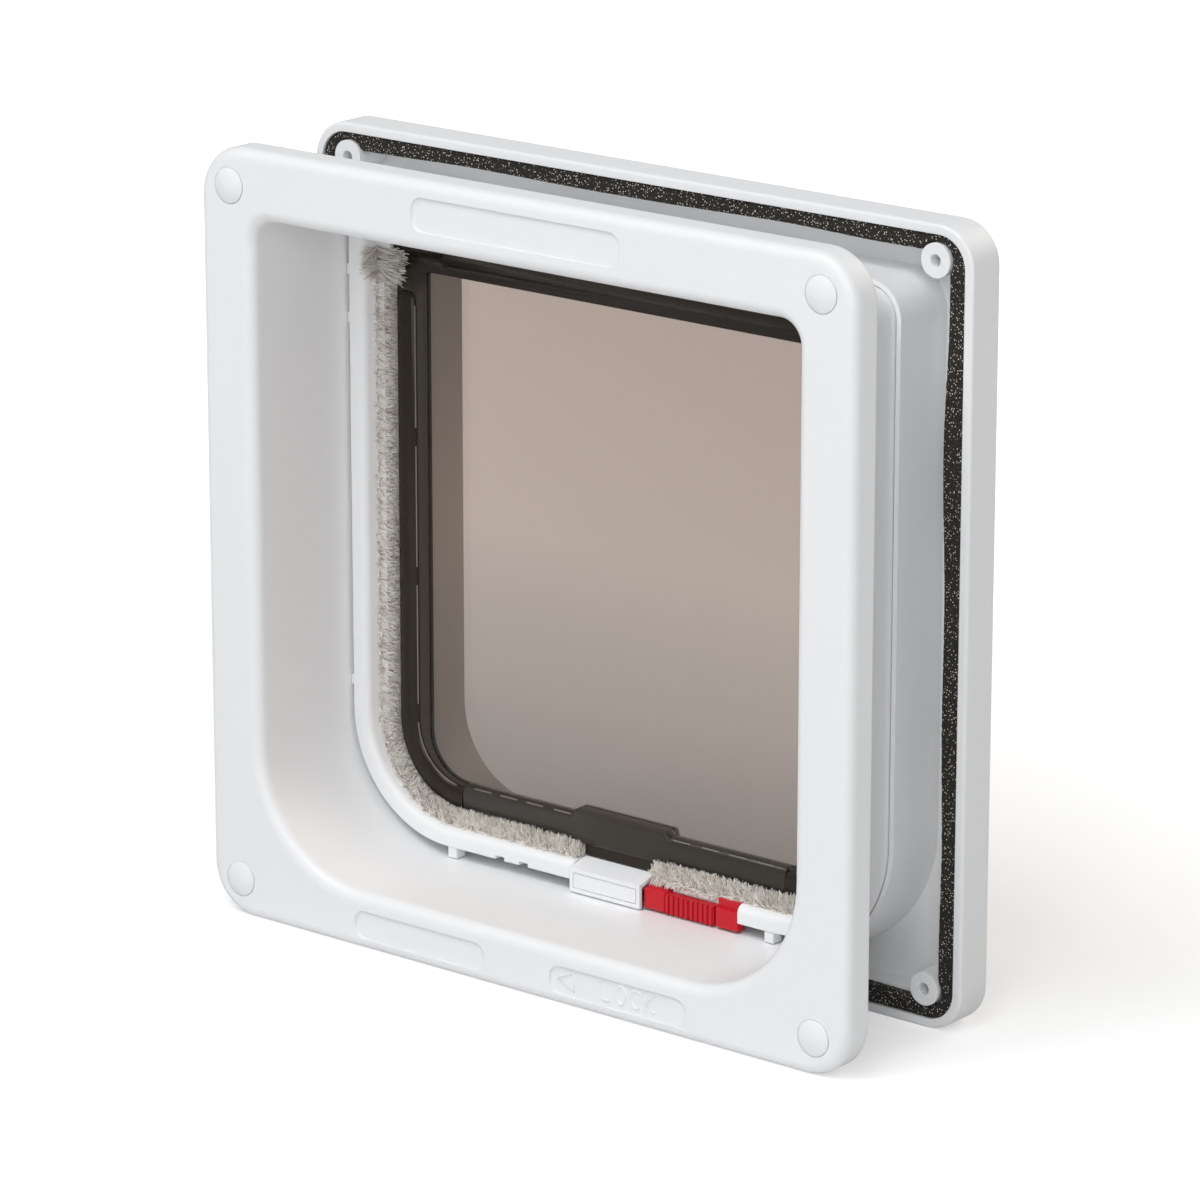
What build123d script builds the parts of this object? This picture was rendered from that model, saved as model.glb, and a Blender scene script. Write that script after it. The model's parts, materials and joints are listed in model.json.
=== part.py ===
"""Pet door for a cat: two square frames that clamp a door leaf, a telescoping liner,
a swinging smoked flap on a steel rod, brush seals, magnets and a sliding lock.

X runs to the right as seen from indoors, Y from indoors to outdoors, Z up.
The origin is on the floor, midway across the width and the depth.
"""
import os

from build123d import *

# Interior frame (mm)
plate_width = 235.0
plate_height = 231.0
plate_corner_radius = 15.0
plate_thickness = 9.4
plate_skin = 2.5
plate_edge_round = 3.2
side_border = 19.5
head_border = 20.3
sill_border = 16.8
mouth_round = 3.5

# Tunnel through the door leaf
tunnel_width = plate_width - 2 * side_border
tunnel_sill = sill_border
tunnel_head = plate_height - head_border
tunnel_head_radius = 7.0
tunnel_sill_radius = 37.5
liner_wall = 1.8
liner_reach = 1.1
slide_clearance = 0.3
spigot_wall = 1.5
spigot_length = 20.9
door_gap = 41.5
liner_length = plate_thickness + door_gap + liner_reach

# Exterior frame
exterior_overlap = 1.1
exterior_head_trim = 1.2
exterior_width = plate_width + 2 * exterior_overlap
exterior_height = plate_height - exterior_head_trim
exterior_depth = 15.0
exterior_corner_radius = 11.8
exterior_edge_bevel = 3.0
rim_wall = 2.8
rim_edge_round = 1.0
tray_depth = 11.5
collar_height = 14.6
collar_flare = 9.0
collar_taper = 24.0
reveal_side_gap = 2.0
reveal_wall = 2.5
reveal_sill_drop = 2.3
reveal_head_rise = 6.5

# Fixing screws' bosses, holes and caps
fixing_inset_x = 11.6
fixing_inset_z = 11.3
fixing_spacing_x = plate_width - 2 * fixing_inset_x
fixing_spacing_z = plate_height - 2 * fixing_inset_z
fixing_centre_z = plate_height / 2
boss_diameter = 9.8
pilot_diameter = 3.4
pilot_depth = 10.0
screw_hole_diameter = 4.4
cap_diameter = 10.8
cap_height = 1.3
cap_stem_length = 3.0
cap_stem_clearance = 0.1
cap_stem_diameter = screw_hole_diameter - 2 * cap_stem_clearance

# Foam strip in the exterior rim
foam_width = 5.3
foam_ledge_depth = 4.5
foam_recess = 0.4
foam_boss_clearance = 0.3

# Shallow label recesses in the interior frame
recess_depth = 0.6
recess_round = 3.6
head_recess_width = 74.4
head_recess_height = 9.8
head_recess_below_top = 9.8
sill_recess_width = 49.0
sill_recess_height = 8.4
sill_recess_offset = 36.7
sill_recess_above_floor = 7.4

# Ring that carries the flap inside the liner
carrier_seat = 3.1
carrier_depth = 13.3
carrier_set_back = plate_thickness + door_gap + carrier_seat - carrier_depth
carrier_side_gap = 1.2
carrier_sill_gap = 3.6
carrier_rail = 5.4
carrier_head_rail = 3.0
carrier_flange = 2.0
carrier_edge_round = 2.4
nub_set_back = 0.2
nub_length = 3.2
nub_depth = 4.0
nub_above_sill = 48.0
nubs_below_head = (35.8, 21.4)
nub_heights = (tunnel_sill + nub_above_sill, *(tunnel_head - drop for drop in nubs_below_head))
sill_nub_offset = tunnel_width / 2 - tunnel_sill_radius - nub_length / 2
detent_width = 3.4
detent_height = 1.1
detent_offsets = (-40.5, -31.5)

# Brush seals
brush_set_in = 5.4
brush_thickness = 4.6
brush_root = 2.2
brush_tip_gap = 0.6
brush_head_drop = 6.0
brush_end_gap = 0.8
seat_clearance = 0.1

# Flap and hinge
flap_side_gap = 13.0
flap_sill_gap = 12.7
flap_corner_step = 12.5
flap_width = tunnel_width - 2 * flap_side_gap
flap_sill = tunnel_sill + flap_sill_gap
flap_sill_radius = tunnel_sill_radius - flap_corner_step
flap_head_radius = 4.0
flap_set_in = 9.3
flap_plane = carrier_set_back + flap_set_in
flap_thickness = 3.2
flap_border = 11.0
bead_width = 7.6
bead_thickness = 6.2
bead_bevel = 1.9
bead_end_round = 3.4
pane_thickness = 2.2
pane_capture = 3.0
hinge_drop = 12.7
hinge_height = tunnel_head - hinge_drop
window_head_drop = 7.5
window_head = hinge_height - window_head_drop
bead_head_drop = 13.5
bead_head = hinge_height - bead_head_drop
hinge_barrel_diameter = 10.0
hinge_barrel_end_gap = 17.5
hinge_barrel_length = flap_width - 2 * hinge_barrel_end_gap
hinge_barrel_end_bevel = 3.0
hinge_knuckle_diameter = 6.4
flap_head_rise = 2.0
rod_diameter = 3.0
rod_running_clearance = 0.05
rod_end_depth = 4.0
bearing_diameter = 7.6
bearing_side_gap = 0.8

# Bottom bar of the flap and the catch pressed into it
bar_joint_gap = 0.2
bar_length = flap_width - 2 * (flap_sill_radius + bar_joint_gap)
bar_height = 8.5
bar_pad_width = 34.0
bar_pad_rise = 1.6
bar_pad_proud = 0.7
bar_pad_bevel = 1.2
tab_width = 26.0
tab_drop = 2.8
tab_thickness = 6.6
catch_stem_length = 22.0
catch_stem_thickness = 4.4
catch_stem_rise = 4.2
flap_magnet_length = 12.0
flap_magnet_width = 3.0
flap_magnet_height = 5.0
flap_magnet_offset = -4.0

# Magnet housing below the tab
housing_proud = 1.2
housing_length = 26.0
housing_floor_gap = 0.4
housing_front_height = 7.2
housing_back_height = 9.0
housing_depth = 7.7
housing_wall = 1.2
cover_margin = 1.3
cover_thickness = 0.7
cover_seam = 0.15
frame_magnet_length = 14.0
frame_magnet_depth = 4.0
frame_magnet_height = 4.6

# Sliding lock
lock_travel = 8.0
lock_clearance = 0.3
lock_nose_length = 7.6
lock_grip_length = 17.6
lock_grip_gap = 0.9
lock_end_length = 8.0
lock_front_depth = 3.3
lock_spine_depth = 1.6
lock_rib_count = 10
lock_rib_width = 1.05
lock_rib_depth = 1.1
lock_block_round = 0.6
lock_clip_thickness = 0.9
lock_track_gap = 0.3
lock_nose_depth = 4.9
lock_track_height = 4.2
lock_arm_height = 1.8
lock_arm_rise = 4.1
tongue_width = 6.0
tongue_thickness = 2.5
tongue_clearance = 0.4

# Distance within which two places count as one
same_place = 0.001

# Places that follow from the sizes above
overall_depth = cap_height + plate_thickness + door_gap + exterior_depth + collar_height
front_y = cap_height - overall_depth / 2
plate_back_y = front_y + plate_thickness
liner_end_y = front_y + liner_length
rim_y = plate_back_y + door_gap
exterior_back_y = rim_y + exterior_depth
collar_end_y = exterior_back_y + collar_height
tray_floor_y = rim_y + tray_depth
carrier_front_y = front_y + carrier_set_back
carrier_back_y = carrier_front_y + carrier_depth
carrier_sill = tunnel_sill + carrier_sill_gap
carrier_rail_top = carrier_sill + carrier_rail
carrier_head = tunnel_head - carrier_side_gap
carrier_half = tunnel_width / 2 - carrier_side_gap
carrier_inner_half = carrier_half - carrier_rail
flap_y = front_y + flap_plane
flap_half = flap_width / 2
tab_bottom = flap_sill - tab_drop
hinge_axis = Pos(0, flap_y, hinge_height)
housing_bottom = tunnel_sill + housing_floor_gap
housing_front_y = carrier_front_y - housing_proud
housing_back_y = housing_front_y + housing_depth
housing_end_x = housing_length / 2
lock_front_y = housing_front_y + housing_wall + lock_clearance
lock_bottom = housing_bottom + lock_clearance
lock_start_x = housing_end_x + lock_clearance
lock_grip_x = lock_start_x + lock_nose_length
lock_grip_end_x = lock_grip_x + lock_grip_length
lock_end_x = lock_grip_end_x + lock_grip_gap
lock_stop_x = lock_end_x + lock_end_length
lock_block_back_y = lock_front_y + lock_front_depth
tongue_x = lock_start_x + lock_nose_length / 2
fixing_points = [
    (side * fixing_spacing_x / 2, fixing_centre_z + level * fixing_spacing_z / 2)
    for level in (1, -1)
    for side in (-1, 1)
]


def rounded_outline(half_width, low, high, low_radius, high_radius):
    """Upright outline in X and Z with its own radius at the bottom and top corners."""
    blank = Pos(0, (low + high) / 2) * Rectangle(2 * half_width, high - low)
    footed = fillet(blank.vertices().group_by(Axis.Y)[0], low_radius)
    return fillet(footed.vertices().group_by(Axis.Y)[-1], high_radius)


def slab(outline, y_from, y_to):
    """Solid between two depths with the given outline in X and Z."""
    return extrude(Plane.XZ.offset(-y_from) * outline, amount=y_to - y_from, dir=(0, 1, 0))


def block(x_span, y_span, z_span):
    """Plain box between two corners."""
    size = [span[1] - span[0] for span in (x_span, y_span, z_span)]
    centre = [(span[0] + span[1]) / 2 for span in (x_span, y_span, z_span)]
    return Pos(*centre) * Box(*size)


def rod_along_y(diameter, x, z, y_from, y_to):
    """Round bar or hole along Y."""
    return slab(Pos(x, z) * Circle(diameter / 2), y_from, y_to)


def rod_along_x(diameter, x_from, x_to):
    """Round bar along X on the hinge axis."""
    bar = Rot(0, 90, 0) * Cylinder(diameter / 2, x_to - x_from)
    return hinge_axis * Pos((x_from + x_to) / 2, 0, 0) * bar


def edges_at_y(solid, y):
    """Edges of a solid that lie flat at one depth."""
    return solid.edges().filter_by_position(Axis.Y, y - same_place, y + same_place)


def tunnel_outline(growth):
    """Outline of the tunnel, grown or shrunk all round."""
    return rounded_outline(
        tunnel_width / 2 + growth,
        tunnel_sill - growth,
        tunnel_head + growth,
        tunnel_sill_radius + growth,
        tunnel_head_radius + growth,
    )


def plate_outline(inset):
    """Outline of the interior plate, inset all round."""
    radius = plate_corner_radius - inset
    return rounded_outline(plate_width / 2 - inset, inset, plate_height - inset, radius, radius)


def exterior_outline(inset):
    """Outline of the exterior frame, inset all round."""
    radius = exterior_corner_radius - inset
    return rounded_outline(
        exterior_width / 2 - inset, inset, exterior_height - inset, radius, radius
    )


def carrier_outline(inset, head_inset):
    """Outline of the flap carrier, inset at the sides and the sill, and at the head."""
    return rounded_outline(
        carrier_half - inset,
        carrier_sill + inset,
        carrier_head - head_inset,
        tunnel_sill_radius - carrier_side_gap - inset,
        tunnel_head_radius - carrier_side_gap - head_inset,
    )


def flap_outline(inset, head):
    """Outline of the flap, inset at the sides and the sill, up to the given height."""
    return rounded_outline(
        flap_half - inset,
        flap_sill + inset,
        head,
        flap_sill_radius - inset,
        flap_head_radius,
    )


def reveal_outline(growth):
    """Outline of the opening through the exterior frame, grown all round."""
    return rounded_outline(
        flap_half + reveal_side_gap + growth,
        tab_bottom - reveal_sill_drop - growth,
        hinge_height + reveal_head_rise + growth,
        flap_sill_radius + reveal_side_gap + growth,
        flap_head_radius + growth,
    )


def make_interior_frame():
    """Front plate, hollow behind, with the liner that reaches into the door leaf."""
    plate = slab(plate_outline(0), front_y, plate_back_y)
    plate = fillet(edges_at_y(plate, front_y), plate_edge_round)
    plate -= slab(tunnel_outline(0), front_y, plate_back_y)
    front_face = plate.faces().sort_by(Axis.Y)[0]
    plate = fillet(front_face.inner_wires()[0].edges(), mouth_round)
    hollow = slab(plate_outline(plate_skin), front_y + plate_skin, plate_back_y)
    hollow -= slab(tunnel_outline(liner_wall), front_y, plate_back_y)
    for x, z in fixing_points:
        hollow -= rod_along_y(boss_diameter, x, z, front_y, plate_back_y)
    liner = slab(tunnel_outline(liner_wall), plate_back_y, liner_end_y)
    liner -= slab(tunnel_outline(0), plate_back_y, liner_end_y)
    frame = plate - hollow + liner
    for x, z in fixing_points:
        frame -= rod_along_y(screw_hole_diameter, x, z, front_y, plate_back_y)
    head_recess = Pos(0, plate_height - head_recess_below_top) * RectangleRounded(
        head_recess_width, head_recess_height, recess_round
    )
    frame -= slab(head_recess, front_y, front_y + recess_depth)
    for side in (-1, 1):
        sill_recess = Pos(side * sill_recess_offset, sill_recess_above_floor) * RectangleRounded(
            sill_recess_width, sill_recess_height, recess_round
        )
        frame -= slab(sill_recess, front_y, front_y + recess_depth)
    return frame


def make_screw_cap(x, z):
    """Low domed cap with a stem that plugs the screw's hole."""
    radius = cap_diameter / 2
    dome_radius = (radius**2 + cap_height**2) / (2 * cap_height)
    ball = Pos(x, front_y - cap_height + dome_radius, z) * Sphere(dome_radius)
    dome = ball & rod_along_y(cap_diameter, x, z, front_y - cap_height, front_y)
    return dome + rod_along_y(cap_stem_diameter, x, z, front_y, front_y + cap_stem_length)


def make_exterior_frame():
    """Deep tray with a foam ledge, screw bosses, a spigot round the liner and a raised collar."""
    body = slab(exterior_outline(0), rim_y, exterior_back_y)
    body = chamfer(edges_at_y(body, exterior_back_y), exterior_edge_bevel)
    body = fillet(edges_at_y(body, rim_y), rim_edge_round)
    collar_base = Plane.XZ.offset(-exterior_back_y) * reveal_outline(collar_flare)
    body += extrude(collar_base, amount=-collar_height, taper=collar_taper)
    body -= slab(exterior_outline(rim_wall), rim_y, rim_y + foam_ledge_depth)
    ledge_inset = rim_wall + foam_width
    tray = slab(exterior_outline(ledge_inset), rim_y, tray_floor_y)
    for x, z in fixing_points:
        tray -= rod_along_y(boss_diameter, x, z, rim_y, tray_floor_y)
        body += rod_along_y(boss_diameter, x, z, rim_y, tray_floor_y)
    body -= tray
    spigot_inner = liner_wall + slide_clearance
    spigot = slab(tunnel_outline(spigot_inner + spigot_wall), tray_floor_y - spigot_length, tray_floor_y)
    spigot -= slab(tunnel_outline(spigot_inner), tray_floor_y - spigot_length, tray_floor_y)
    body += spigot
    body += slab(reveal_outline(reveal_wall), carrier_back_y, tray_floor_y)
    body -= slab(reveal_outline(0), carrier_back_y, collar_end_y)
    for x, z in fixing_points:
        body -= rod_along_y(pilot_diameter, x, z, rim_y, rim_y + pilot_depth)
    return body


def make_foam_seal():
    """Foam strip laid round the ledge inside the exterior rim."""
    strip = slab(exterior_outline(rim_wall), rim_y + foam_recess, rim_y + foam_ledge_depth)
    strip -= slab(exterior_outline(rim_wall + foam_width), rim_y, tray_floor_y)
    for x, z in fixing_points:
        strip -= rod_along_y(boss_diameter + 2 * foam_boss_clearance, x, z, rim_y, tray_floor_y)
    return strip


def make_flap_carrier():
    """Ring inside the liner with the brush groove, hinge bearings and the lock's track."""
    groove_y = carrier_front_y + brush_set_in
    flange_y = carrier_back_y - carrier_flange
    ring = slab(carrier_outline(0, 0), carrier_front_y, carrier_back_y)
    ring -= slab(carrier_outline(carrier_rail, carrier_head_rail), carrier_front_y, flange_y)
    front_face = ring.faces().sort_by(Axis.Y)[0]
    ring = fillet(front_face.inner_wires()[0].edges(), carrier_edge_round)
    ring -= slab(
        carrier_outline(carrier_rail, carrier_head_rail)
        & reveal_outline(0),
        carrier_front_y,
        carrier_back_y,
    )
    groove = slab(
        carrier_outline(carrier_rail - brush_root, carrier_head_rail),
        groove_y,
        groove_y + brush_thickness,
    )
    ring -= groove & below_brush_head()
    for side in (-1, 1):
        bearing_end = flap_half + bearing_side_gap
        span = sorted((side * bearing_end, side * (carrier_half - rod_end_depth / 2)))
        ring += rod_along_x(bearing_diameter, *span)
        for height in nub_heights:
            ring += side_nub(side, height)
        ring += sill_nub(side * sill_nub_offset)
    for offset in detent_offsets:
        ring -= block(
            (offset - detent_width / 2, offset + detent_width / 2),
            (carrier_front_y, carrier_front_y + carrier_rail),
            (carrier_sill, carrier_sill + detent_height),
        )
    ring -= block(
        (-housing_end_x, lock_grip_x + lock_clearance),
        (carrier_front_y, housing_back_y),
        (carrier_sill, carrier_rail_top),
    )
    track_span = (lock_grip_x, lock_stop_x + lock_clearance)
    track_y = lock_block_back_y + lock_track_gap
    track_top = carrier_sill + lock_track_height
    ring -= block(track_span, (carrier_front_y, track_y), (carrier_sill, carrier_rail_top))
    ring -= block(track_span, (track_y, groove_y), (track_top, carrier_rail_top))
    ring -= lock_slot()
    rod_hole = rod_diameter + 2 * rod_running_clearance
    rod_reach = carrier_inner_half + rod_end_depth
    return ring - rod_along_x(rod_hole, -rod_reach, rod_reach)


def below_brush_head():
    """Space below the top ends of the brushes."""
    head = hinge_height - brush_head_drop
    return block((-plate_width, plate_width), (front_y, collar_end_y), (0, head))


def side_nub(side, height):
    """Small spacer that keeps the ring off the liner's side."""
    reach = tunnel_width / 2 - slide_clearance
    return block(
        sorted((side * (carrier_half - carrier_rail / 2), side * reach)),
        (carrier_front_y + nub_set_back, carrier_front_y + nub_set_back + nub_depth),
        (height - nub_length / 2, height + nub_length / 2),
    )


def sill_nub(x):
    """Small foot that keeps the ring off the liner's floor."""
    return block(
        (x - nub_length / 2, x + nub_length / 2),
        (carrier_front_y + nub_set_back, carrier_front_y + nub_set_back + nub_depth),
        (tunnel_sill + slide_clearance, carrier_sill + carrier_rail / 2),
    )


def lock_slot():
    """Room in the ring for the lock's arm and tongue along their travel."""
    reach = tongue_width / 2 + tongue_clearance
    arm_bottom = housing_bottom + lock_arm_rise
    return block(
        (tongue_x - lock_travel - reach, tongue_x + reach),
        (housing_back_y, flap_y + tongue_thickness / 2 + tongue_clearance),
        (arm_bottom - tongue_clearance, flap_sill),
    )


def make_brush_seal(side):
    """Half of the pile seal: down one side, round the corner and along the sill to the tab."""
    brush_y = carrier_front_y + brush_set_in
    root = carrier_outline(carrier_rail - brush_root + seat_clearance, carrier_head_rail)
    tips = rounded_outline(
        flap_half + brush_tip_gap,
        flap_sill - brush_tip_gap,
        hinge_height,
        flap_sill_radius + brush_tip_gap,
        flap_head_radius,
    )
    pile = slab(root - tips, brush_y + seat_clearance, brush_y + brush_thickness - seat_clearance)
    inner_x = tab_width / 2 + brush_end_gap
    pile &= block(sorted((side * inner_x, side * plate_width)), (front_y, collar_end_y), (0, plate_height))
    pile &= below_brush_head()
    if side > 0:
        pile -= lock_slot()
    return pile


def make_hinge_rod():
    """Steel rod through the head of the flap, turning in the carrier's bearings."""
    reach = carrier_inner_half + rod_end_depth - lock_clearance
    return rod_along_x(rod_diameter, -reach, reach)


def make_flap_pane():
    """Smoked sheet captured in the flap's frame and bottom bar."""
    outline = rounded_outline(
        flap_half - flap_border + pane_capture,
        flap_sill + bar_height - pane_capture,
        window_head + pane_capture,
        flap_sill_radius - flap_border + pane_capture,
        flap_head_radius,
    )
    return slab(outline, flap_y - pane_thickness / 2, flap_y + pane_thickness / 2)


def bar_room(growth):
    """Space at the flap's sill that the bottom bar takes."""
    half = bar_length / 2 + growth
    return block((-half, half), (front_y, collar_end_y), (0, flap_sill + bar_height + growth))


def make_flap_frame():
    """Dark border of the flap with a rounded bead at its edge and the hinge barrel on top."""
    window = rounded_outline(
        flap_half - flap_border,
        flap_sill + bar_height,
        window_head,
        flap_sill_radius - flap_border,
        flap_head_radius,
    )
    border = flap_outline(0, hinge_height + flap_head_rise) - window
    frame = slab(border, flap_y - flap_thickness / 2, flap_y + flap_thickness / 2)
    bead_outline = flap_outline(0, hinge_height) - flap_outline(bead_width, hinge_height)
    bead_outline -= Pos(0, hinge_height) * Rectangle(flap_width, 2 * (hinge_height - bead_head))
    bead_outline = fillet(bead_outline.vertices().group_by(Axis.Y)[-1], bead_end_round)
    bead_front = flap_y - bead_thickness / 2
    bead_back = flap_y + bead_thickness / 2
    bead = slab(bead_outline, bead_front, bead_back)
    bead = chamfer(edges_at_y(bead, bead_front) + edges_at_y(bead, bead_back), bead_bevel)
    barrel = rod_along_x(hinge_barrel_diameter, -hinge_barrel_length / 2, hinge_barrel_length / 2)
    barrel = chamfer(barrel.edges().filter_by(GeomType.CIRCLE), hinge_barrel_end_bevel)
    frame += bead
    frame += barrel
    frame += rod_along_x(hinge_knuckle_diameter, -flap_half, flap_half)
    frame -= bar_room(bar_joint_gap)
    return frame - make_flap_pane() - make_hinge_rod()


def make_flap_magnet():
    """Bar magnet let into the underside of the catch."""
    return block(
        (flap_magnet_offset - flap_magnet_length / 2, flap_magnet_offset + flap_magnet_length / 2),
        (flap_y - flap_magnet_width / 2, flap_y + flap_magnet_width / 2),
        (tab_bottom, tab_bottom + flap_magnet_height),
    )


def catch_body():
    """Tab below the flap with a stem above it that fills a pocket in the bottom bar."""
    tab_top = flap_sill + bar_pad_bevel
    tab = block(
        (-tab_width / 2, tab_width / 2),
        (flap_y - tab_thickness / 2, flap_y + tab_thickness / 2),
        (tab_bottom, tab_top),
    )
    stem = block(
        (-catch_stem_length / 2, catch_stem_length / 2),
        (flap_y - catch_stem_thickness / 2, flap_y + catch_stem_thickness / 2),
        (tab_top, flap_sill + catch_stem_rise),
    )
    return tab + stem


def make_flap_bottom_bar():
    """Bar that closes the flap's sill, with a raised pad over the catch's pocket."""
    half_thickness = bead_thickness / 2
    bar = block(
        (-bar_length / 2, bar_length / 2),
        (flap_y - half_thickness, flap_y + half_thickness),
        (flap_sill, flap_sill + bar_height),
    )
    bar = chamfer(bar.edges().filter_by(Axis.X), bead_bevel)
    half_pad = half_thickness + bar_pad_proud
    pad = block(
        (-bar_pad_width / 2, bar_pad_width / 2),
        (flap_y - half_pad, flap_y + half_pad),
        (flap_sill, flap_sill + bar_height + bar_pad_rise),
    )
    pad = chamfer(pad.edges(), bar_pad_bevel)
    return bar + pad - catch_body() - make_flap_pane()


def make_flap_catch():
    """Catch with the flap's magnet and a slot at its end for the lock's tongue."""
    half_slot = tongue_thickness / 2 + tongue_clearance
    slot = block(
        (tongue_x - lock_travel - tongue_width / 2 - tongue_clearance, tab_width / 2),
        (flap_y - half_slot, flap_y + half_slot),
        (tab_bottom, flap_sill + tongue_clearance),
    )
    return catch_body() - slot - make_flap_magnet()


def housing_profile(inset, back_inset):
    """Side view of the housing, in Y and Z, with a top that rises to the back."""
    front = housing_front_y + inset
    back = housing_back_y - back_inset
    slope = (housing_back_height - housing_front_height) / housing_depth
    front_top = housing_bottom + housing_front_height - inset + slope * inset
    back_top = front_top + slope * (back - front)
    return Polyline(
        (front, housing_bottom),
        (back, housing_bottom),
        (back, back_top),
        (front, front_top),
        close=True,
    )


def bar_of_profile(profile, x_from, x_to):
    """Solid along X with a closed outline given in Y and Z."""
    return extrude(Plane.YZ.offset(x_from) * make_face(profile), amount=x_to - x_from)


def cover_block(margin):
    """Plate let into the housing's front, inside a margin all round."""
    return block(
        (-housing_end_x + margin, housing_end_x - margin),
        (housing_front_y, housing_front_y + cover_thickness),
        (housing_bottom + margin, housing_bottom + housing_front_height - margin),
    )


def make_frame_magnet():
    """Bar magnet in the closed end of the housing."""
    left = -housing_end_x + housing_wall
    front = housing_front_y + housing_wall
    bottom = housing_bottom + housing_wall
    return block(
        (left, left + frame_magnet_length),
        (front, front + frame_magnet_depth),
        (bottom, bottom + frame_magnet_height),
    )


def make_magnet_housing():
    """Box below the tab: one end holds the magnet, the other takes the lock's nose."""
    shell = bar_of_profile(housing_profile(0, 0), -housing_end_x, housing_end_x)
    nose_room = lock_start_x - lock_travel - lock_clearance
    shell -= bar_of_profile(housing_profile(housing_wall, 0), nose_room, housing_end_x)
    return shell - cover_block(cover_margin) - make_frame_magnet()


def make_magnet_cover():
    """Thin plate that closes the housing's front."""
    return cover_block(cover_margin + cover_seam)


def make_lock_slider():
    """Slider with a nose, a ribbed grip, a clip over the track and the locking tongue."""
    inset = housing_wall + lock_clearance
    slope = (housing_back_height - housing_front_height) / housing_depth
    top = housing_bottom + housing_front_height - inset + slope * inset
    nose_back_inset = housing_depth - inset - lock_nose_depth
    nose = bar_of_profile(housing_profile(inset, nose_back_inset), lock_start_x, lock_grip_x)
    nose -= block((lock_start_x, lock_grip_x), (front_y, collar_end_y), (0, lock_bottom))
    nose = fillet(edges_at_y(nose, lock_front_y), lock_block_round)
    spine = block(
        (lock_grip_x, lock_stop_x),
        (lock_block_back_y - lock_spine_depth, lock_block_back_y),
        (lock_bottom, top),
    )
    end_block = block(
        (lock_end_x, lock_stop_x), (lock_front_y, lock_block_back_y), (lock_bottom, top)
    )
    end_block = fillet(edges_at_y(end_block, lock_front_y), lock_block_round)
    clip_bottom = carrier_sill + lock_track_height + lock_track_gap
    clip = block(
        (lock_end_x, lock_stop_x),
        (lock_block_back_y - lock_spine_depth, lock_front_y + lock_nose_depth),
        (clip_bottom, clip_bottom + lock_clip_thickness),
    )
    post = block(
        (lock_end_x, lock_stop_x),
        (lock_block_back_y - lock_spine_depth, lock_block_back_y),
        (lock_bottom, clip_bottom + lock_clip_thickness),
    )
    slider = nose + spine + end_block + clip + post
    grip_back = lock_block_back_y - lock_spine_depth
    grip_front = grip_back - lock_rib_depth
    slider += block(
        (lock_grip_x, lock_grip_end_x), (grip_front, grip_back), (lock_bottom, top)
    )
    rib_pitch = lock_grip_length / lock_rib_count
    for index in range(lock_rib_count):
        rib_x = lock_grip_x + (index + 0.5) * rib_pitch
        slider += block(
            (rib_x - lock_rib_width / 2, rib_x + lock_rib_width / 2),
            (lock_front_y, grip_front),
            (lock_bottom, top),
        )
    arm_bottom = housing_bottom + lock_arm_rise
    tongue_back = flap_y + tongue_thickness / 2
    slider += block(
        (tongue_x - tongue_width / 2, tongue_x + tongue_width / 2),
        (lock_block_back_y, tongue_back),
        (arm_bottom, arm_bottom + lock_arm_height),
    )
    slider += block(
        (tongue_x - tongue_width / 2, tongue_x + tongue_width / 2),
        (tongue_back - tongue_thickness, tongue_back),
        (arm_bottom, flap_sill - tongue_clearance),
    )
    return slider


pieces = {
    "interior_frame": make_interior_frame(),
    "exterior_frame": make_exterior_frame(),
    "foam_seal": make_foam_seal(),
    "flap_carrier": make_flap_carrier(),
    "brush_seal_left": make_brush_seal(-1),
    "brush_seal_right": make_brush_seal(1),
    "hinge_rod": make_hinge_rod(),
    "flap_frame": make_flap_frame(),
    "flap_pane": make_flap_pane(),
    "flap_bottom_bar": make_flap_bottom_bar(),
    "flap_catch": make_flap_catch(),
    "flap_magnet": make_flap_magnet(),
    "magnet_housing": make_magnet_housing(),
    "magnet_cover": make_magnet_cover(),
    "frame_magnet": make_frame_magnet(),
    "lock_slider": make_lock_slider(),
}
for number, (x, z) in enumerate(fixing_points, start=1):
    pieces[f"screw_cap_{number}"] = make_screw_cap(x, z)

os.makedirs("parts", exist_ok=True)
for name, piece in pieces.items():
    export_step(piece, f"parts/{name}.step")
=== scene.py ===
import json
import math

import bmesh
import bpy
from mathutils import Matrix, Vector, noise


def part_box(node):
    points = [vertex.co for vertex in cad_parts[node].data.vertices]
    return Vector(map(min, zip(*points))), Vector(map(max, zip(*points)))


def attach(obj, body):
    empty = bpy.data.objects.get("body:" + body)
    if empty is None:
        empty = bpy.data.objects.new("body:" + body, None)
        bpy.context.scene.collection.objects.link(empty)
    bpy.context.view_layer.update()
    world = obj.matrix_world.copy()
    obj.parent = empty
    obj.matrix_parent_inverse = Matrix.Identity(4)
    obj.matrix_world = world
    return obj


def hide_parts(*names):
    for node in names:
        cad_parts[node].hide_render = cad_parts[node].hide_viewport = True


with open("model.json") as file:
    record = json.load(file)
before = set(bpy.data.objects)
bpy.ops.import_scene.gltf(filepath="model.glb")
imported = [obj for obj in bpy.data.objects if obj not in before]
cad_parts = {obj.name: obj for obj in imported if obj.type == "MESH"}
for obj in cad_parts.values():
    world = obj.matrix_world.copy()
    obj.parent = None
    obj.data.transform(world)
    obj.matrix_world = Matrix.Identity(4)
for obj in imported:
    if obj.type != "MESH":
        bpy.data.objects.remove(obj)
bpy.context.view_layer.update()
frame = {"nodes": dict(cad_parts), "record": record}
nodes = frame["nodes"]
scene = bpy.context.scene
scene.view_settings.view_transform = "Standard"
mm = 0.001
print("frame loaded:", len(nodes), "nodes")

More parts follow.
